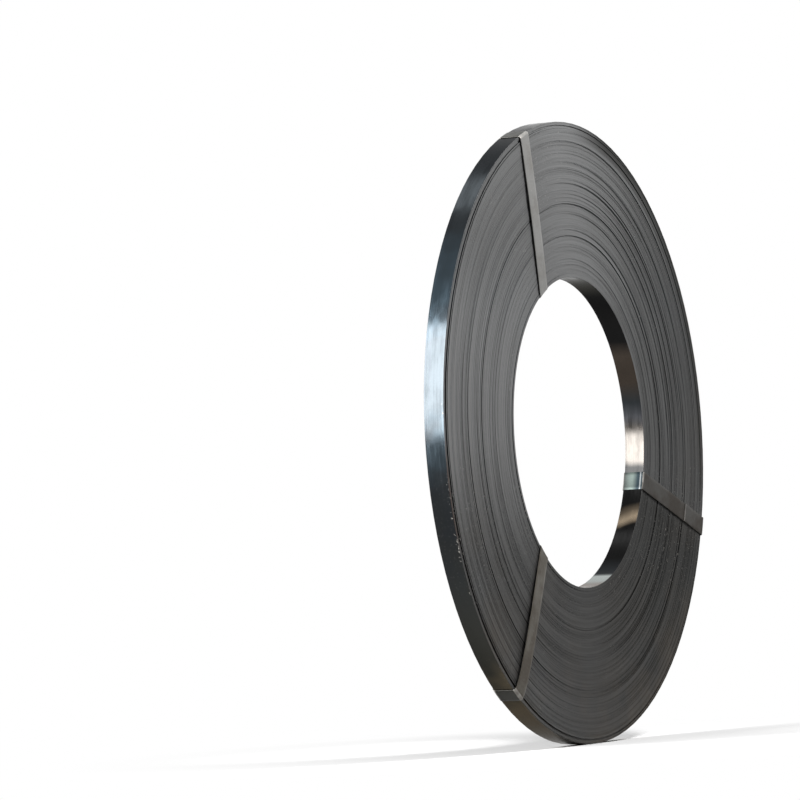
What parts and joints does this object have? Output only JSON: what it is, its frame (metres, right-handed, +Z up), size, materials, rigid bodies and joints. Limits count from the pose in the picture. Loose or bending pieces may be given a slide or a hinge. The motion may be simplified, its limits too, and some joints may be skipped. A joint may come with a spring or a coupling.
{
  "type": "steel strip coil",
  "caption": "Flat coil of blued steel strip wound round an open bore, bound with thin steel ties across its face.",
  "frame": {"origin": "on the floor under the middle of the coil, midway between the outermost faces of its ties", "axes": "+Z up; -Y along the axis of the coil, out of the end that the picture shows; +X towards the right of the picture"},
  "size_m": [0.5999, 0.0264, 0.6],
  "materials": {
    "strip_steel": "blued and glossy on the flats of the strip, grey and finely lined on its slit edges",
    "tie_steel": "dull brown-grey oiled steel with bright bends"
  },
  "bodies": {
    "root": {"strip_coil": "strip_steel", "tie_top": "tie_steel", "tie_right": "tie_steel", "tie_lower": "tie_steel"}
  },
  "joints": []
}
